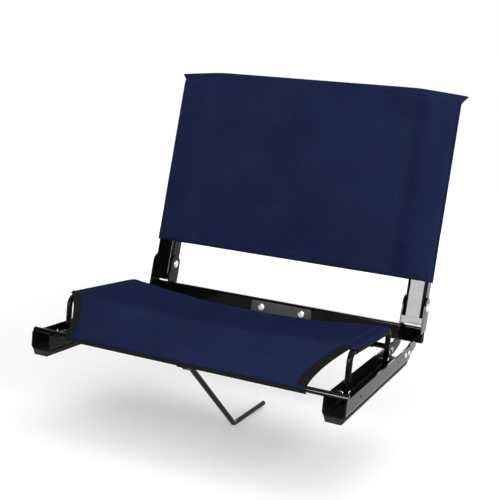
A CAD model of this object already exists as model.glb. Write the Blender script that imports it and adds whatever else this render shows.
import math

import bpy
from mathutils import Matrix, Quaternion, Vector
from mathutils.bvhtree import BVHTree


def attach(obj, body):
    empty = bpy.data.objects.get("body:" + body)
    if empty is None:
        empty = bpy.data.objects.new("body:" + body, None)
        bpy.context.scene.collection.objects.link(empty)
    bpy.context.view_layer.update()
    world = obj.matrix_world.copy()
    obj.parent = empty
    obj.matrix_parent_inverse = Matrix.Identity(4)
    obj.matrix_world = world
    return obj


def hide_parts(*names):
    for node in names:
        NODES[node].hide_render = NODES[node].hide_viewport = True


# Folding stadium seat: finishes for the solid frame, and sewn canvas in place of its cloth solids
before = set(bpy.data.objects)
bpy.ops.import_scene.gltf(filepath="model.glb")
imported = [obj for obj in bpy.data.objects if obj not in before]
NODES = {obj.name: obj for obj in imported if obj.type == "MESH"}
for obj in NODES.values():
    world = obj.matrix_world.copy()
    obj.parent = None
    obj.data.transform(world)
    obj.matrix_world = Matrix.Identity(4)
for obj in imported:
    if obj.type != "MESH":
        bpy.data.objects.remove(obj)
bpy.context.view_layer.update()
scene = bpy.context.scene
scene.view_settings.view_transform = "Standard"
MM = 0.001

# Sizes of the frame and the cloth in millimetres, as in the solid model
PIVOT_BACK = 176.0
PIVOT_UP = 84.0
RECLINE = math.radians(11.0)
UPRIGHT_CENTRE = 218.0
UPRIGHT_WIDTH = 31.0
UPRIGHT_DEPTH = 26.0
UPRIGHT_REACH = 312.0
ROD_RADIUS = 4.0
HOOP_X = 208.0
HOOP_FRONT = 122.0
HOOP_REAR = 64.0
HOOP_FRONT_UP = 74.0
HOOP_REAR_UP = 67.0
FRONT_ROD_FORWARD = 174.0
FRONT_ROD_UP = 33.5
REAR_ROD_UP = 42.0
CLOTH_THICK = 1.2
TAPE_INNER_RADIUS = 4.3
TAPE_OUTER_RADIUS = 5.6
TAPE_END_GAP = 14.0
SEAT_HALF_WIDTH = 210.0
APRON_HALF_WIDTH = 172.0
SEAT_SAG = 20.0
CREST_SAG = 7.0
CREST_BACK = 112.0
APRON_SLEEVE_GAP = 0.35
APRON_NOTCH_HALF = 13.0
BACK_LOW = 38.7
BACK_HIGH = 335.0
SEAM_HALF = 170.0
BACK_SLACK = 1.0
BACK_SAG = 5.0
HOOP_SLOPE = (HOOP_FRONT_UP - HOOP_REAR_UP) / (HOOP_REAR + HOOP_FRONT)

# Sizes in millimetres that are this scene's own
SEAT_REAR_EDGE = 47.0
REAR_HALF_WIDTH = 187.0
EAR_DROP = 6.0
SEAM_SET_BACK = 8.0
CLOTH_GAP = 0.3

SIDES = (("left", -1), ("right", 1))


# Materials
class NodeTree:
    """Short ways to add nodes to a material or to the world."""

    def __init__(self, tree):
        self.nodes = tree.nodes
        self.links = tree.links

    def add(self, kind, **inputs):
        made = self.nodes.new(kind)
        for key, value in inputs.items():
            made.inputs[key.replace("_", " ")].default_value = value
        return made

    def place(self, name):
        return self.add("ShaderNodeTexCoord").outputs[name]

    def axis(self, source, name):
        made = self.add("ShaderNodeSeparateXYZ")
        self.links.new(self.place(source), made.inputs["Vector"])
        return made.outputs[name]

    def maths(self, operation, first, second=0.0):
        made = self.add("ShaderNodeMath")
        made.operation = operation
        for socket, value in zip(made.inputs, (first, second)):
            if isinstance(value, (int, float)):
                socket.default_value = value
            else:
                self.links.new(value, socket)
        return made.outputs[0]

    def mix(self, *parts):
        """Sum of sources, each times its share."""
        total = None
        for source, share in parts:
            part = self.maths("MULTIPLY", source, share)
            total = part if total is None else self.maths("ADD", total, part)
        return total

    def spread(self, source, low, high, start=0.0, stop=1.0):
        made = self.add("ShaderNodeMapRange", From_Min=start, From_Max=stop, To_Min=low, To_Max=high)
        self.links.new(source, made.inputs["Value"])
        return made.outputs["Result"]

    def rays(self):
        """Camera rays, and the rays that show the background in a mirror or through glass."""
        path = self.add("ShaderNodeLightPath").outputs
        mirrored = self.maths("MAXIMUM", path["Is Glossy Ray"], path["Is Transmission Ray"])
        return path["Is Camera Ray"], mirrored


class Finish(NodeTree):
    """One node material with short ways to add textures to it."""

    def __init__(self, name, colour, roughness, metallic=0.0, specular=0.5):
        self.material = bpy.data.materials.new(name)
        self.material.use_nodes = True
        super().__init__(self.material.node_tree)
        self.shader = self.nodes["Principled BSDF"]
        self.shader.inputs["Base Color"].default_value = (*colour, 1.0)
        self.shader.inputs["Roughness"].default_value = roughness
        self.shader.inputs["Metallic"].default_value = metallic
        self.shader.inputs["Specular IOR Level"].default_value = specular

    def noise(self, scale, detail):
        made = self.add("ShaderNodeTexNoise", Scale=scale, Detail=detail)
        self.links.new(self.place("Object"), made.inputs["Vector"])
        return made.outputs["Fac"]

    def wave(self, direction, period, distortion):
        made = self.add("ShaderNodeTexWave", Scale=math.pi / (10.0 * period), Distortion=distortion)
        made.wave_type = "BANDS"
        made.bands_direction = direction
        self.links.new(self.place("UV"), made.inputs["Vector"])
        return made.outputs["Fac"]

    def ramp(self, source, first, last):
        """Colour that runs between two stops, each a place and a colour."""
        made = self.add("ShaderNodeValToRGB")
        for stop, (place, colour) in zip(made.color_ramp.elements, (first, last)):
            stop.position = place
            stop.color = (*colour, 1.0)
        self.links.new(source, made.inputs["Fac"])
        return made.outputs["Color"]

    def bump(self, height, strength, distance, under=None):
        made = self.add("ShaderNodeBump", Strength=strength, Distance=distance)
        self.links.new(height, made.inputs["Height"])
        if under is not None:
            self.links.new(under, made.inputs["Normal"])
        return made.outputs["Normal"]

    def feed(self, socket, source):
        self.links.new(source, self.shader.inputs[socket])


def shade(colour, share):
    return tuple(channel * share for channel in colour)


def make_frame_black():
    """Gloss black powder coat: a faint orange peel, slow changes in gloss, and matt recesses."""
    done = Finish("frame_black", (0.0025, 0.0025, 0.0028), 0.12, specular=0.08)
    gloss = done.spread(done.noise(scale=45.0, detail=4.0), low=0.07, high=0.17)
    recess = done.add("ShaderNodeAmbientOcclusion", Distance=0.03)
    recess.samples = 4
    recess.only_local = True
    hidden = done.maths("SUBTRACT", 1.0, recess.outputs["AO"])
    done.feed("Roughness", done.maths("ADD", gloss, done.maths("MULTIPLY", hidden, 1.1)))
    done.feed("Normal", done.bump(done.noise(scale=420.0, detail=1.0), strength=0.045, distance=0.001))
    return done.material


def start_steel(name):
    """Zinc plate with the fine marks of turning in its gloss."""
    done = Finish(name, (0.78, 0.78, 0.76), 0.24, metallic=1.0)
    done.feed("Roughness", done.spread(done.noise(scale=900.0, detail=3.0), low=0.16, high=0.36))
    return done


def make_bright_steel():
    """Rivets with a slightly mottled plate."""
    done = start_steel("bright_steel")
    mottle = done.noise(scale=160.0, detail=3.0)
    done.feed("Base Color", done.ramp(mottle, (0.3, (0.62, 0.62, 0.6)), (0.7, (0.83, 0.83, 0.81))))
    return done.material


def make_pivot_steel():
    """Bright heads, and a shank that is black between the upright's walls."""
    done = start_steel("pivot_steel")
    aside = done.maths("ABSOLUTE", done.axis("Object", "X"))
    off_middle = done.maths("ABSOLUTE", done.maths("SUBTRACT", aside, UPRIGHT_CENTRE * MM))
    inside = done.maths("LESS_THAN", off_middle, UPRIGHT_WIDTH / 2 * MM)
    done.feed("Base Color", done.ramp(inside, (0.0, (0.76, 0.76, 0.74)), (1.0, (0.012, 0.012, 0.012))))
    return done.material


def make_sole_rubber():
    """Matt black rubber with a dusty, finely pitted face."""
    black = (0.0065, 0.0065, 0.007)
    done = Finish("sole_rubber", black, 0.72, specular=0.18)
    dust = done.noise(scale=70.0, detail=5.0)
    done.feed("Base Color", done.ramp(dust, (0.35, black), (0.75, shade(black, 1.8))))
    done.feed("Normal", done.bump(done.noise(scale=900.0, detail=3.0), strength=0.25, distance=0.0006))
    return done.material


NAVY = (0.0112, 0.0178, 0.0535)
YARN_PITCH = 0.0010


def make_navy_canvas():
    """Plain-weave canvas: crossing yarns, slubs and slow changes of shade."""
    done = Finish("navy_canvas", NAVY, 0.92, specular=0.0)
    warp = done.wave("X", YARN_PITCH, distortion=0.6)
    weft = done.wave("Y", YARN_PITCH, distortion=0.6)
    weave = done.maths("ADD", warp, weft)
    slub = done.noise(scale=160.0, detail=4.0)
    patch = done.noise(scale=14.0, detail=3.0)
    tone = done.mix((weave, 0.2), (slub, 0.3), (patch, 0.3))
    done.feed("Base Color", done.ramp(tone, (0.25, shade(NAVY, 0.62)), (0.75, shade(NAVY, 1.42))))
    done.feed("Roughness", done.spread(slub, low=0.84, high=1.0))
    fuzz = done.bump(slub, strength=0.2, distance=0.001)
    done.feed("Normal", done.bump(weave, strength=0.35, distance=0.0005, under=fuzz))
    return done.material


def make_black_tape():
    """Woven binding tape with ribs across it."""
    black = (0.0042, 0.0041, 0.0042)
    done = Finish("black_tape", black, 0.8, specular=0.08)
    ribs = done.wave("Y", 0.0016, distortion=0.4)
    edge = done.wave("X", 0.0022, distortion=0.4)
    fuzz = done.noise(scale=240.0, detail=4.0)
    tone = done.mix((ribs, 0.5), (fuzz, 0.5))
    done.feed("Base Color", done.ramp(tone, (0.25, shade(black, 0.6)), (0.8, shade(black, 1.7))))
    done.feed("Normal", done.bump(done.maths("ADD", ribs, edge), strength=0.4, distance=0.0005))
    return done.material


def make_grip_plastic():
    """Black moulded plate with a fine eroded grain."""
    done = Finish("grip_plastic", (0.009, 0.009, 0.0095), 0.42)
    done.feed("Roughness", done.spread(done.noise(scale=60.0, detail=3.0), low=0.34, high=0.5))
    done.feed("Normal", done.bump(done.noise(scale=1100.0, detail=2.0), strength=0.18, distance=0.0004))
    return done.material


def make_thread(name, colour):
    """Twisted sewing thread."""
    done = Finish(name, colour, 0.7, specular=0.1)
    twist = done.noise(scale=2600.0, detail=2.0)
    done.feed("Base Color", done.ramp(twist, (0.3, shade(colour, 0.7)), (0.7, shade(colour, 1.3))))
    done.feed("Normal", done.bump(twist, strength=0.3, distance=0.0002))
    return done.material


FRAME_BLACK = make_frame_black()
BRIGHT_STEEL = make_bright_steel()
PIVOT_STEEL = make_pivot_steel()
SOLE_RUBBER = make_sole_rubber()
NAVY_CANVAS = make_navy_canvas()
BLACK_TAPE = make_black_tape()
GRIP_PLASTIC = make_grip_plastic()
NAVY_THREAD = make_thread("navy_thread", shade(NAVY, 1.3))
BLACK_THREAD = make_thread("black_thread", (0.008, 0.008, 0.009))

# Solid nodes that keep their shape: all of them are frame_black apart from these
FINISHES = (
    (SOLE_RUBBER, ("foot_strip_left", "foot_strip_right")),
    (PIVOT_STEEL, ("pivot_rivet_left", "pivot_rivet_right")),
    (BRIGHT_STEEL, ("bracket_rivets", "hoop_rivets", "grip_rivets", "hook_pin")),
    (GRIP_PLASTIC, ("grip_plate_front", "grip_plate_rear")),
)
FINISH_OF = {name: finish for finish, names in FINISHES for name in names}
EDGED_NODES = ("hinge_bracket_left", "hinge_bracket_right", "foot_strip_left", "foot_strip_right",
               "hook_clevis", "hook")
EDGE_ROUND = 0.45
EDGE_ANGLE = math.radians(50)
WELD_REACH = 0.01


def soften_edges(piece):
    """Sheet metal and moulded edges are never sharp: a small round catches the light."""
    weld = piece.modifiers.new("weld", "WELD")
    weld.merge_threshold = WELD_REACH * MM
    rounding = piece.modifiers.new("rounding", "BEVEL")
    rounding.width = EDGE_ROUND * MM
    rounding.segments = 2
    rounding.limit_method = "ANGLE"
    rounding.angle_limit = EDGE_ANGLE
    normals = piece.modifiers.new("normals", "WEIGHTED_NORMAL")
    normals.weight = 100


for node_name, node in NODES.items():
    node.data.materials.clear()
    node.data.materials.append(FINISH_OF.get(node_name, FRAME_BLACK))
    if node_name in EDGED_NODES:
        soften_edges(node)


# Cloth: grids of control points that subdivide to smooth sheets, as the solids' surfaces do
CLOTH_LEVELS = 2


def smooth_step(value):
    value = max(0.0, min(1.0, value))
    return value * value * (3 - 2 * value)


def running_lengths(points):
    """Distance along a line of points, from its start to each of them."""
    lengths = [0.0]
    for first, second in zip(points, points[1:]):
        lengths.append(lengths[-1] + (Vector(second) - Vector(first)).length)
    return lengths


def show(name, points, faces, material):
    """New object in the scene from points in metres, shaded smooth."""
    mesh = bpy.data.meshes.new(name)
    mesh.from_pydata(points, [], faces)
    for face in mesh.polygons:
        face.use_smooth = True
    mesh.materials.append(material)
    piece = bpy.data.objects.new(name, mesh)
    scene.collection.objects.link(piece)
    return piece


def cloth_piece(name, grid, material, thick, skip=None):
    """Mesh of quads over a grid of points in millimetres, subdivided and given the cloth's thickness."""
    across = running_lengths(grid[len(grid) // 2])
    along = running_lengths([row[len(row) // 2] for row in grid])
    columns = len(grid[0])
    points = [point * MM for row in grid for point in row]
    faces = []
    weave_places = []
    for i in range(len(grid) - 1):
        for j in range(columns - 1):
            if skip is not None and skip(i, j):
                continue
            corners = [(i, j), (i, j + 1), (i + 1, j + 1), (i + 1, j)]
            faces.append([a * columns + b for a, b in corners])
            weave_places.extend((across[b] * MM, along[a] * MM) for a, b in corners)
    piece = show(name, points, faces, material)
    layer = piece.data.uv_layers.new(name="cloth")
    for loop, place in zip(layer.data, weave_places):
        loop.uv = place
    smooth = piece.modifiers.new("smooth", "SUBSURF")
    smooth.levels = CLOTH_LEVELS
    smooth.render_levels = CLOTH_LEVELS
    smooth.boundary_smooth = "PRESERVE_CORNERS"
    solid = piece.modifiers.new("thickness", "SOLIDIFY")
    solid.thickness = thick * MM
    solid.offset = 0.0
    return piece


# Seat cloth: rows run from the rear apron over the seat to the front apron
SEAT_ROWS = 9
CREST_ROWS = 5
APRON_ROWS = 5
REAR_ROWS = 4
SLEEVE_ROWS = 8
CREST_BEND = 14.0
REAR_BEND = 17.0
CREST_SHARE = 0.12
REAR_SHARE = 0.4
REAR_EASE = 1.3
SLEEVE_TURN = math.radians(250)
SLEEVE_RADIUS = ROD_RADIUS + APRON_SLEEVE_GAP + CLOTH_THICK / 2
SEAT_COLUMNS = (0.0, 0.12, 0.25, 0.38, 0.5, 0.62, 0.74, 0.84, 0.91, 0.96, 1.0)
SEAT_LIFT = TAPE_OUTER_RADIUS + CLOTH_THICK / 2 + CLOTH_GAP
FLAT_FROM = 0.945
SAG_ROUND = 1.4
SAG_FADE = 1.5
SAG_KEPT = 0.35
NARROWING = 1.6


def bar_height(back):
    return HOOP_REAR_UP + (HOOP_REAR - back) * HOOP_SLOPE


def arc_point(centre, radius, heading):
    """Point (back, up) of an arc where the cloth runs in a direction."""
    return centre[0] + radius * math.sin(heading), centre[1] - radius * math.cos(heading)


def between(first, last, part):
    return first[0] + (last[0] - first[0]) * part, first[1] + (last[1] - first[1]) * part


def seat_path():
    """Rows from the rear bend to the front rod as (back, up, heading, share of the apron)."""
    lift = SEAT_LIFT * math.hypot(1, HOOP_SLOPE)
    lead = math.atan2(HOOP_SLOPE, -1.0)
    rows = []
    for k in range(SEAT_ROWS + 1):
        back = SEAT_REAR_EDGE + (-CREST_BACK - SEAT_REAR_EDGE) * k / SEAT_ROWS
        rows.append((back, bar_height(back) + lift, lead, 0.0))
    rod = (-FRONT_ROD_FORWARD, FRONT_ROD_UP)
    centre = arc_point(rows[-1], -CREST_BEND, lead)
    away = math.atan2(rod[1] - centre[1], rod[0] - centre[0]) % (2 * math.pi)
    away += math.asin((CREST_BEND - SLEEVE_RADIUS) / math.dist(rod, centre))
    for k in range(1, CREST_ROWS + 1):
        heading = lead + (away - lead) * k / CREST_ROWS
        rows.append((*arc_point(centre, CREST_BEND, heading), heading, CREST_SHARE * k / CREST_ROWS))
    bend_end = rows[-1]
    touch = arc_point(rod, SLEEVE_RADIUS, away)
    for k in range(1, APRON_ROWS + 1):
        part = k / (APRON_ROWS + 1)
        rows.append((*between(bend_end, touch, part), away, CREST_SHARE + (1 - CREST_SHARE) * part))
    for k in range(SLEEVE_ROWS + 1):
        heading = away + SLEEVE_TURN * k / SLEEVE_ROWS
        rows.append((*arc_point(rod, SLEEVE_RADIUS, heading), heading, 1.0))
    return rows


def rear_path():
    """Rows of the rear apron, from the sleeve on the rear cross rod up to the seat's first row."""
    seat_start = SEAT_PATH[0]
    lead = seat_start[2]
    rod = (HOOP_REAR, REAR_ROD_UP)
    centre = arc_point(seat_start, -REAR_BEND, lead)
    rise = math.atan2(centre[1] - rod[1], centre[0] - rod[0])
    rise -= math.asin((REAR_BEND - SLEEVE_RADIUS) / math.dist(rod, centre))
    rows = []
    for k in range(SLEEVE_ROWS + 1):
        heading = rise - SLEEVE_TURN * (1 - k / SLEEVE_ROWS)
        rows.append((*arc_point(rod, SLEEVE_RADIUS, heading), heading, 1.0))
    touch = rows[-1]
    bend_start = arc_point(centre, REAR_BEND, rise)
    for k in range(1, REAR_ROWS + 1):
        part = k / (REAR_ROWS + 1)
        rows.append((*between(touch, bend_start, part), rise, 1.0 - (1.0 - REAR_SHARE) * part))
    for k in range(CREST_ROWS):
        heading = rise + (lead - rise) * k / CREST_ROWS
        share = REAR_SHARE * (1 - k / CREST_ROWS) ** REAR_EASE
        rows.append((*arc_point(centre, REAR_BEND, heading), heading, share))
    return rows


# Each row goes on round the side bar, or turns its edge under on an apron
WRAP_ANGLES = (76, 62, 50, 40, 31)
WRAP_RADIUS = SEAT_LIFT * 1.04
FOLD_PROUD = 0.5
FOLD_STEP = 2.2
FOLD_DEPTH = 0.9
FOLD_TURN = 60


def side_wrap(side, place, half):
    back, up, heading, share = place
    hold = 1.0 - smooth_step(share / CREST_SHARE)
    points = []
    for k, angle in enumerate(WRAP_ANGLES):
        turn = math.radians(angle)
        round_bar = Vector((side * (HOOP_X + WRAP_RADIUS * math.cos(turn)), back,
                            bar_height(back) + WRAP_RADIUS * math.sin(turn)))
        inward = half + FOLD_PROUD - FOLD_STEP * k
        under = FOLD_DEPTH * (1 - math.cos(math.radians(FOLD_TURN * min(k + 1, 3))))
        fold = Vector((side * inward, *arc_point((back, up), -under, heading)))
        points.append(fold.lerp(round_bar, hold))
    return points


def cloth_row(place, apron_half, sag):
    """One row of the seat's grid from side to side, with its turned sides."""
    back, up, heading, share = place
    half = apron_half + (SEAT_HALF_WIDTH - apron_half) * (1.0 - share) ** NARROWING
    row = []
    for c in [-c for c in reversed(SEAT_COLUMNS[1:])] + list(SEAT_COLUMNS):
        dip = sag * max(0.0, 1.0 - (c / FLAT_FROM) ** 2) ** SAG_ROUND
        row.append(Vector((c * half, *arc_point((back, up), -dip, heading))))
    left = side_wrap(-1, place, half)
    right = side_wrap(1, place, half)
    return list(reversed(left)) + row + right


def seat_grid():
    grid = []
    for index, place in enumerate(SEAT_PATH):
        if index <= SEAT_ROWS:
            fade = smooth_step((index / SEAT_ROWS - SAG_KEPT) / (1 - SAG_KEPT))
            sag = SEAT_SAG + (CREST_SAG - SEAT_SAG) * fade
        else:
            apron_share = place[3]
            sag = CREST_SAG * (1.0 - apron_share) ** SAG_FADE
        grid.append(cloth_row(place, APRON_HALF_WIDTH, sag))
    return grid


def rear_grid():
    grid = []
    for place in REAR_PATH:
        apron_share = place[3]
        sag = SEAT_SAG * (1.0 - apron_share) ** SAG_FADE
        grid.append(cloth_row(place, REAR_HALF_WIDTH, sag))
    return grid


SEAT_PATH = seat_path()
REAR_PATH = rear_path()
SEAT_GRID = seat_grid()
REAR_GRID = rear_grid()
SLEEVE_START = SEAT_ROWS + CREST_ROWS + APRON_ROWS + 1
NOTCH_ROW = len(REAR_GRID) + SLEEVE_START + 5


def seat_notch(i, j):
    """The apron's sleeve is open behind the rod in the middle, where the hook is hung."""
    if i < NOTCH_ROW:
        return False
    row = SEAT_GRID[i - len(REAR_GRID)]
    return abs(row[j].x + row[j + 1].x) / 2 < APRON_NOTCH_HALF


seat = cloth_piece("seat_cloth", REAR_GRID + SEAT_GRID, NAVY_CANVAS, CLOTH_THICK, skip=seat_notch)
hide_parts("seat_canvas")
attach(seat, "base")


# Black tape: a sleeve round each side bar under the cloth
TAPE_RADIUS = (TAPE_INNER_RADIUS + TAPE_OUTER_RADIUS) / 2
TAPE_THICK = 0.9
TAPE_ROWS = 12
TAPE_CONTROL = TAPE_RADIUS * 1.045
TAPE_UPPER_FLAP = ((13.6, TAPE_RADIUS - 0.1), (9.5, TAPE_RADIUS - 0.1), (5.0, TAPE_RADIUS))
TAPE_LOWER_FLAP = ((6.6, 3.4), (9.5, 3.6), (13.6, 3.7))


def tape_section():
    """Outline across the sleeve as (inward, up) from the bar's middle."""
    turns = [math.radians(angle) for angle in range(90, -211, -30)]
    tube = [(-TAPE_CONTROL * math.cos(turn), TAPE_CONTROL * math.sin(turn)) for turn in turns]
    return [*TAPE_UPPER_FLAP, *tube, *TAPE_LOWER_FLAP]


def tape_grid(side):
    start = HOOP_REAR - TAPE_END_GAP
    stop = -(HOOP_FRONT - TAPE_END_GAP)
    grid = []
    for k in range(TAPE_ROWS + 1):
        back = start + (stop - start) * k / TAPE_ROWS
        grid.append([Vector((side * (HOOP_X - inward), back, bar_height(back) + up))
                     for inward, up in tape_section()])
    return grid


# Black tape: folded over the side edges of both aprons, with its section as (inward, out of the cloth)
EDGE_SECTION = ((11.0, 0.9), (10.5, 1.25), (6.0, 1.35), (1.0, 1.35), (-1.2, 0.7),
                (-1.2, -1.3), (1.0, -2.9), (6.0, -3.1), (11.0, -3.1))
EDGE_THICK = 0.7
FRONT_EDGE = slice(SEAT_ROWS, SLEEVE_START + 1)
REAR_EDGE = slice(SLEEVE_ROWS, None)
EDGE_COLUMN = len(WRAP_ANGLES)
INSIDE_COLUMN = EDGE_COLUMN + 3


def edge_grid(side, path, rows):
    grid = []
    for (_, _, heading, _), row in zip(path, rows):
        out = Vector((0.0, *arc_point((0.0, 0.0), 1.0, heading)))
        from_side = row if side < 0 else row[::-1]
        edge = from_side[EDGE_COLUMN]
        inward = (from_side[INSIDE_COLUMN] - edge).normalized()
        grid.append([edge + inward * into + out * lift for into, lift in EDGE_SECTION])
    return grid


# Black tape: bound round the lower half of the front apron's sleeve
HEM_RADIUS = ROD_RADIUS + APRON_SLEEVE_GAP + CLOTH_THICK + 0.5
HEM_ANGLES = (172, 194, 216, 238, 260, 282)
HEM_COLUMNS = 24
HEM_HALF_WIDTH = APRON_HALF_WIDTH + 1.5


def hem_grid():
    grid = []
    for angle in HEM_ANGLES:
        turn = math.radians(angle)
        back = -FRONT_ROD_FORWARD + HEM_RADIUS * math.cos(turn)
        up = FRONT_ROD_UP + HEM_RADIUS * math.sin(turn)
        grid.append([Vector((HEM_HALF_WIDTH * (2 * k / HEM_COLUMNS - 1), back, up))
                     for k in range(HEM_COLUMNS + 1)])
    return grid


hem_tape = cloth_piece("apron_hem_tape", hem_grid(), BLACK_TAPE, EDGE_THICK)
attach(hem_tape, "base")

tapes = {}
front_edges = {}
for tag, side in SIDES:
    tape = cloth_piece("side_tape_" + tag, tape_grid(side), BLACK_TAPE, TAPE_THICK)
    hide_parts("seat_binding_" + tag)
    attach(tape, "base")
    front_edges[tag] = edge_grid(side, SEAT_PATH[FRONT_EDGE], SEAT_GRID[FRONT_EDGE])
    rear_edge = edge_grid(side, REAR_PATH[REAR_EDGE], REAR_GRID[REAR_EDGE])
    edging = cloth_piece("apron_tape_" + tag, front_edges[tag], BLACK_TAPE, EDGE_THICK)
    rear_edging = cloth_piece("rear_tape_" + tag, rear_edge, BLACK_TAPE, EDGE_THICK)
    for piece in (edging, rear_edging):
        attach(piece, "base")
    tapes[tag] = (tape, edging, rear_edging)


# Back cloth: one panel whose sides go round the uprights as pockets and end in flat ears on top
POCKET_GAP = CLOTH_GAP + CLOTH_THICK / 2
POCKET_FACE = UPRIGHT_DEPTH / 2 + POCKET_GAP
POCKET_OUTER = UPRIGHT_CENTRE + UPRIGHT_WIDTH / 2 + POCKET_GAP + BACK_SLACK
POCKET_INNER = UPRIGHT_CENTRE - UPRIGHT_WIDTH / 2
POCKET_REAR = POCKET_FACE + 0.7
POCKET_TOP = UPRIGHT_REACH + 1.5
FRONT_ROUND = 4.4
FRONT_ROUND_STEP = 22.5
REAR_ROUND = 2.5
REAR_ROUND_CUT = 0.4
FRONT_COLUMNS = 6
ROUND_COLUMNS = 3
SIDE_COLUMNS = 4
REAR_COLUMNS = 3
SLOPE_COLUMNS = 6
POCKET_TIP = FRONT_COLUMNS + 1 + ROUND_COLUMNS + SIDE_COLUMNS // 2
FRONT_SLOPE_END = POCKET_INNER - 4.5
REAR_SLOPE_START = POCKET_INNER - 2.5
REAR_SLOPE_WAVE = 0.12
PANEL_FACE = SEAM_SET_BACK - POCKET_FACE
PANEL_COLUMNS = (0.0, 0.18, 0.36, 0.54, 0.7, 0.84, 0.93)
PANEL_LEVELS = (0, 0.1, 0.25, 0.42, 0.6, 0.78, 0.9, 0.97)
TOP_LEVELS = (0, 0.22, 0.42, 0.62, 0.8, 1.0)
LAYERS_APART = CLOTH_THICK + 0.4
FRONT_LAYERS = PANEL_FACE + POCKET_GAP + 8.0
SEAM_TURN = 5.0
SEAM_DIP = 1.0
SEAM_DIP_INSIDE = 4.0
SEAM_DIP_WIDTH = 8.0
EAR_LEAN = 7.0
EAR_REACH = 78.0
EAR_EASE = 1.15


def pocket_front(x):
    """The cloth in front slopes forward from the seam to the upright's face."""
    slope = smooth_step((x - SEAM_HALF) / (FRONT_SLOPE_END - SEAM_HALF))
    return -POCKET_FACE + SEAM_SET_BACK * (1 - slope)


def pocket_path():
    """Right pocket as (across, behind), from its seam in front round the upright to its seam behind."""
    path = []
    for k in range(FRONT_COLUMNS + 1):
        x = SEAM_HALF + (POCKET_OUTER - FRONT_ROUND - SEAM_HALF) * k / FRONT_COLUMNS
        path.append((x, pocket_front(x)))
    for k in range(1, ROUND_COLUMNS + 1):
        turn = math.radians(-90 + FRONT_ROUND_STEP * k)
        path.append((POCKET_OUTER - FRONT_ROUND + FRONT_ROUND * math.cos(turn),
                     -POCKET_FACE + FRONT_ROUND + FRONT_ROUND * math.sin(turn)))
    side = POCKET_FACE - FRONT_ROUND
    for k in range(SIDE_COLUMNS + 1):
        path.append((POCKET_OUTER, -side + 2 * side * k / SIDE_COLUMNS))
    corner = POCKET_OUTER - REAR_ROUND
    path.append((POCKET_OUTER, POCKET_REAR - REAR_ROUND))
    path.append((POCKET_OUTER - REAR_ROUND_CUT, POCKET_REAR - REAR_ROUND_CUT))
    path.append((corner, POCKET_REAR))
    for k in range(1, REAR_COLUMNS + 1):
        path.append((corner + (REAR_SLOPE_START - corner) * k / REAR_COLUMNS, POCKET_REAR))
    seam_behind = PANEL_FACE + LAYERS_APART
    for k in range(1, SLOPE_COLUMNS + 1):
        part = k / SLOPE_COLUMNS
        ease = part + REAR_SLOPE_WAVE * math.sin(2 * math.pi * part) / 2
        path.append((REAR_SLOPE_START + (SEAM_HALF - REAR_SLOPE_START) * part,
                     POCKET_REAR + (seam_behind - POCKET_REAR) * smooth_step(ease)))
    return path


def flatten(path, flat):
    """Move a pocket's outline towards the flat sewn top, keeping the cloth's length."""
    lengths = running_lengths(path)
    reach = lengths[POCKET_TIP]
    sewn = len(path) - 2
    rear_length = lengths[sewn] - reach
    moved = []
    for index, (x, n) in enumerate(path):
        layer = LAYERS_APART / 2
        if index <= POCKET_TIP:
            flat_x = SEAM_HALF + lengths[index]
            layer = -LAYERS_APART / 2 if index < POCKET_TIP else 0.0
        elif index <= sewn:
            flat_x = SEAM_HALF + reach * (1 - (lengths[index] - reach) / rear_length)
        else:
            flat_x = SEAM_HALF - SEAM_TURN
        lean = EAR_LEAN * max(0.0, (flat_x - SEAM_HALF) / reach)
        flat_n = PANEL_FACE + LAYERS_APART / 2 + layer + lean
        moved.append((x + (flat_x - x) * flat, n + (flat_n - n) * flat))
    return moved


def back_half_path(level, flat):
    """Right half of one level as (across, behind) from the middle to the rear hem."""
    share = (level - BACK_LOW) / (BACK_HIGH - BACK_LOW)
    belly = BACK_SAG * (1 - share ** 4)

    def panel(x):
        return PANEL_FACE + belly * max(0.0, 1 - (x / SEAM_HALF) ** 2) ** SAG_ROUND

    middle = [(part * SEAM_HALF, panel(part * SEAM_HALF)) for part in PANEL_COLUMNS]
    turned_in = SEAM_HALF - SEAM_TURN
    pocket = pocket_path() + [(turned_in, panel(turned_in) + LAYERS_APART)]
    return middle + flatten(pocket, flat)


def seam_dip(across):
    """The front layers are drawn back a little along the pocket's seam."""
    return SEAM_DIP * math.exp(-((abs(across) - SEAM_HALF + SEAM_DIP_INSIDE) / SEAM_DIP_WIDTH) ** 2)


def on_back(across, level, behind):
    """Point at a height along the leaning uprights."""
    return Vector((across, PIVOT_BACK + level * math.sin(RECLINE) + behind * math.cos(RECLINE),
                   PIVOT_UP + level * math.cos(RECLINE) - behind * math.sin(RECLINE)))


def back_levels():
    panel = [BACK_LOW + (POCKET_TOP - BACK_LOW) * part for part in PANEL_LEVELS]
    return panel + [POCKET_TOP + (BACK_HIGH - POCKET_TOP) * part for part in TOP_LEVELS]


def back_grid():
    grid = []
    for level in back_levels():
        rise = max(0.0, (level - POCKET_TOP) / (BACK_HIGH - POCKET_TOP))
        half = back_half_path(level, rise ** EAR_EASE)
        whole = [(-x, n) for x, n in reversed(half[1:])] + half
        row = []
        for x, n in whole:
            far = max(0.0, (abs(x) - SEAM_HALF) / EAR_REACH)
            layer = n + seam_dip(x) if n < FRONT_LAYERS else n
            row.append(on_back(x, level - EAR_DROP * far * smooth_step(rise), layer))
        grid.append(row)
    return grid


back = cloth_piece("back_cloth", back_grid(), NAVY_CANVAS, CLOTH_THICK)
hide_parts("back_canvas")
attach(back, "backrest")


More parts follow.
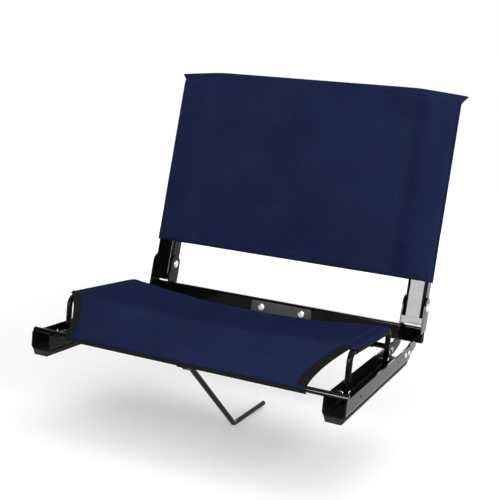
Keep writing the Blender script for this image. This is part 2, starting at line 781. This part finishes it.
# Stitches: rows of short threads laid on the finished cloth, with sizes in millimetres
STITCH_PITCH = 3.6
STITCH_LENGTH = 2.6
STITCH_RADIUS = 0.33
TAPE_STITCH_RADIUS = 0.28
STITCH_PROUD = 0.35
STITCH_SEARCH = 12.0
STITCH_RING = 5
STITCH_SHARES = ((-0.5, 0.25), (-0.3, 0.9), (0.3, 0.9), (0.5, 0.25))


def resample(points, pitch):
    """Points a fixed distance apart along a line."""
    lengths = running_lengths(points)
    count = max(2, int(lengths[-1] / pitch))
    placed = []
    k = 0
    for step in range(count + 1):
        want = lengths[-1] * step / count
        while k < len(points) - 2 and lengths[k + 1] < want:
            k += 1
        part = (want - lengths[k]) / max(1e-9, lengths[k + 1] - lengths[k])
        placed.append(points[k].lerp(points[k + 1], part))
    return placed


def add_stitch(points, faces, middle, along, normal, radius):
    """One thread: rings of points along it, joined by faces and closed at both ends."""
    across = along.cross(normal).normalized()
    first = len(points)
    for share, girth in STITCH_SHARES:
        for k in range(STITCH_RING):
            turn = 2 * math.pi * k / STITCH_RING
            ring = across * math.cos(turn) + normal * math.sin(turn)
            points.append(middle + along * (STITCH_LENGTH * MM * share) + ring * (radius * MM * girth))
    last = len(STITCH_SHARES) - 1
    for level in range(last):
        for k in range(STITCH_RING):
            a = first + level * STITCH_RING + k
            b = first + level * STITCH_RING + (k + 1) % STITCH_RING
            faces.append((a, b, b + STITCH_RING, a + STITCH_RING))
    faces.append(tuple(first + k for k in reversed(range(STITCH_RING))))
    faces.append(tuple(first + last * STITCH_RING + k for k in range(STITCH_RING)))


def stitching(name, piece, lines, outward, material, radius=STITCH_RADIUS):
    """One mesh of stitches along lines in millimetres, on the face of the cloth that looks outward."""
    bpy.context.view_layer.update()
    tree = BVHTree.FromObject(piece, bpy.context.evaluated_depsgraph_get())
    search = STITCH_SEARCH * MM
    points = []
    faces = []
    for line in lines:
        spots = resample([point * MM for point in line], STITCH_PITCH * MM)
        for first, second in zip(spots, spots[1:]):
            middle = (first + second) / 2
            hit, normal, _, _ = tree.ray_cast(middle + outward * search, -outward, 2 * search)
            if hit is None:
                continue
            along = (second - first).normalized()
            add_stitch(points, faces, hit + normal * (radius * STITCH_PROUD * MM), along, normal, radius)
    return show(name, points, faces, material)


LEAN_FRONT = Vector((0.0, -math.cos(RECLINE), math.sin(RECLINE)))
UPWARD = Vector((0.0, 0.0, 1.0))
FORWARD = Vector((0.0, -0.8, 0.6))
BACKWARD = Vector((0.0, 0.94, 0.34))


# Stitches of the back: double rows beside the pockets and along the hems
LOW_HEM = (BACK_LOW + 4, BACK_LOW + 12)
TOP_HEM = (BACK_HIGH - 5, BACK_HIGH - 13)
FRONT_SEAM_INSETS = (1.5, 7.0)
REAR_SEAM_INSETS = (-4.0, 2.0)
LOW_HEM_REACH = SEAM_HALF + 60
TOP_HEM_REACH = SEAM_HALF - 4
REAR_HEM_REACH = SEAM_HALF - 8
HEM_SHARES = (-1, -0.5, 0, 0.5, 1)
REAR_SEAM_FACE = PANEL_FACE + 6
REAR_LOW_FACE = PANEL_FACE + 5
REAR_TOP_FACE = PANEL_FACE + 2


def seam_lines(insets, behind):
    """Lines up the back beside both pockets."""
    lines = []
    for _, side in SIDES:
        for inset in insets:
            across = side * (SEAM_HALF - inset)
            lines.append([on_back(across, level, behind) for level in (BACK_LOW + 2, BACK_HIGH - 4)])
    return lines


def hem_lines(heights, reach, behind):
    """Lines across the back at the hem's heights."""
    return [[on_back(reach * part, height, behind) for part in HEM_SHARES] for height in heights]


back_front_lines = seam_lines(FRONT_SEAM_INSETS, PANEL_FACE)
back_front_lines += hem_lines(LOW_HEM, LOW_HEM_REACH, PANEL_FACE)
back_front_lines += hem_lines(TOP_HEM, TOP_HEM_REACH, PANEL_FACE)
back_rear_lines = seam_lines(REAR_SEAM_INSETS, REAR_SEAM_FACE)
back_rear_lines += hem_lines(LOW_HEM, REAR_HEM_REACH, REAR_LOW_FACE)
back_rear_lines += hem_lines(TOP_HEM, REAR_HEM_REACH, REAR_TOP_FACE)
back_front_stitches = stitching("back_stitches_front", back, back_front_lines, LEAN_FRONT, NAVY_THREAD)
back_rear_stitches = stitching("back_stitches_rear", back, back_rear_lines, -LEAN_FRONT, NAVY_THREAD)
for made in (back_front_stitches, back_rear_stitches):
    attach(made, "backrest")


# Stitches of the seat: double rows beside the side bars and above both rods
BAR_INSETS = (9.0, 13.0)
BAR_END_GAP = 4.0
APRON_STITCH_REACH = 158.0
REAR_STITCH_REACH = 172.0


def beside_bar(side, inward):
    ends = (SEAT_REAR_EDGE - BAR_END_GAP, BAR_END_GAP - CREST_BACK)
    return [Vector((side * (HOOP_X - inward), end, bar_height(end) + SEAT_LIFT)) for end in ends]


def cross_line(grid, row, share, reach):
    """Line across the seat between two rows of a grid."""
    line = [first.lerp(second, share) for first, second in zip(grid[row], grid[row + 1])]
    return [point for point in line if abs(point.x) <= reach]


top_lines = [beside_bar(side, inward) for _, side in SIDES for inward in BAR_INSETS]
apron_lines = [cross_line(SEAT_GRID, SLEEVE_START - 2, share, APRON_STITCH_REACH) for share in (0.35, 0.75)]
rear_lines = [cross_line(REAR_GRID, SLEEVE_ROWS, share, REAR_STITCH_REACH) for share in (0.5, 1.0)]
seat_stitches = stitching("seat_stitches", seat, top_lines, UPWARD, NAVY_THREAD)
apron_stitches = stitching("apron_stitches", seat, apron_lines, FORWARD, NAVY_THREAD)
rear_stitches = stitching("rear_stitches", seat, rear_lines, BACKWARD, NAVY_THREAD)
for made in (seat_stitches, apron_stitches, rear_stitches):
    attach(made, "base")


# Stitches of the front apron's tape: one row along the middle of its upper face
STITCHED_COLUMN = 2

for tag, _ in SIDES:
    tape_line = [row[STITCHED_COLUMN] for row in front_edges[tag][1:-1]]
    made = stitching("apron_tape_stitches_" + tag, tapes[tag][1], [tape_line], FORWARD, BLACK_THREAD,
                     radius=TAPE_STITCH_RADIUS)
    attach(made, "base")


# Floor and world, in metres: white to the camera and in reflections
WHITE = (1.0, 1.0, 1.0, 1.0)
FLOOR_UP = -0.1140
FLOOR_HALF = 6.0
FLOOR_COLOUR = (0.8, 0.8, 0.8)
GLOW_NEAR = 0.32
GLOW_FAR = 0.68
GLOW_RISE = (0.6, 2.4)
WORLD_LIGHT = 0.42
ROOM_DIM = 0.03
ROOM_RISE = (-0.55, 0.15)


def make_floor_white():
    """The lamps fall off with distance, so the far floor glows more than the floor near the object."""
    done = Finish("floor_white", FLOOR_COLOUR, 0.9, specular=0.1)
    camera_ray, mirrored = done.rays()
    shown = done.maths("MAXIMUM", camera_ray, mirrored)
    away = done.add("ShaderNodeVectorMath")
    away.operation = "LENGTH"
    done.links.new(done.place("Object"), away.inputs[0])
    glow = done.spread(away.outputs["Value"], GLOW_NEAR, GLOW_FAR, *GLOW_RISE)
    done.shader.inputs["Emission Color"].default_value = WHITE
    done.feed("Emission Strength", done.maths("MULTIPLY", shown, glow))
    return done.material


def make_floor():
    corners = [(x * FLOOR_HALF, y * FLOOR_HALF, FLOOR_UP) for x, y in ((-1, -1), (1, -1), (1, 1), (-1, 1))]
    floor = show("floor", corners, [(0, 1, 2, 3)], make_floor_white())


def make_world():
    """Even light, and a white backdrop behind the object while the room behind the camera is dim."""
    world = bpy.data.worlds.new("studio")
    scene.world = world
    world.use_nodes = True
    tree = NodeTree(world.node_tree)
    camera_ray, mirrored = tree.rays()
    room = tree.spread(tree.axis("Generated", "Y"), ROOM_DIM, 1.0, *ROOM_RISE)
    seen = tree.maths("MULTIPLY", camera_ray, 1.0 - WORLD_LIGHT)
    shine = tree.maths("MULTIPLY", mirrored, tree.maths("SUBTRACT", room, WORLD_LIGHT))
    strength = tree.maths("ADD", tree.maths("ADD", seen, shine), WORLD_LIGHT)
    sky = tree.nodes["Background"]
    sky.inputs["Color"].default_value = WHITE
    tree.links.new(strength, sky.inputs["Strength"])


def make_lamp(name, place, aim_at, width, tall, watts):
    lamp = bpy.data.lights.new(name, "AREA")
    lamp.shape = "RECTANGLE"
    lamp.size = width
    lamp.size_y = tall
    lamp.energy = watts
    holder = bpy.data.objects.new(name, lamp)
    scene.collection.objects.link(holder)
    holder.location = place
    holder.rotation_euler = (Vector(aim_at) - Vector(place)).to_track_quat("-Z", "Y").to_euler()
    return holder


OBJECT_MIDDLE = (0.0, 0.03, 0.15)
RIGHT_HINGE = (0.2, 0.17, 0.12)
BACK_MIDDLE = (0.0, 0.2, 0.25)

make_floor()
make_world()
# The front strip is seen only in reflections, in the web of the right upright
strip = make_lamp("strip_front", (-0.22, -1.95, 0.36), RIGHT_HINGE, width=0.32, tall=0.8, watts=72.0)
strip.visible_diffuse = False
make_lamp("panel_top", (0.2, -0.3, 1.9), OBJECT_MIDDLE, width=2.0, tall=2.0, watts=18.0)
make_lamp("panel_right", (1.6, -1.3, 0.9), OBJECT_MIDDLE, width=1.0, tall=1.0, watts=32.0)
make_lamp("panel_rear", (-0.7, 2.6, 0.4), BACK_MIDDLE, width=1.6, tall=0.8, watts=14.0)

# The camera stands where the perspective of the photograph's front view puts it, and enlarges that view
AZIMUTH = math.radians(23.25)
ELEVATION = math.radians(8.32)
ROLL = math.radians(5.18)
DISTANCE = 1.29261
TARGET = Vector((0.00048, 0.00035, 0.18121))
FOCAL_PIXELS = 500.95
PHOTO_SIDE = 500.0
ENLARGED = 1.8
PHOTO_CENTRE = (342.66, 122.90)
OBJECT_CENTRE = (345.0, 131.5)
SENSOR_WIDTH = 36.0


def make_camera():
    data = bpy.data.cameras.new("camera")
    camera = bpy.data.objects.new("camera", data)
    scene.collection.objects.link(camera)
    scene.camera = camera
    level = math.cos(ELEVATION)
    back_way = Vector((math.sin(AZIMUTH) * level, -math.cos(AZIMUTH) * level, math.sin(ELEVATION)))
    camera.location = TARGET + back_way * DISTANCE
    camera.rotation_mode = "QUATERNION"
    camera.rotation_quaternion = (-back_way).to_track_quat("-Z", "Y") @ Quaternion((0.0, 0.0, 1.0), ROLL)
    data.sensor_fit = "HORIZONTAL"
    data.sensor_width = SENSOR_WIDTH
    data.lens = FOCAL_PIXELS * ENLARGED / PHOTO_SIDE * SENSOR_WIDTH
    data.shift_x = (OBJECT_CENTRE[0] - PHOTO_CENTRE[0]) * ENLARGED / PHOTO_SIDE
    data.shift_y = (PHOTO_CENTRE[1] - OBJECT_CENTRE[1]) * ENLARGED / PHOTO_SIDE
    data.clip_start = 0.01
    data.clip_end = 50.0


make_camera()
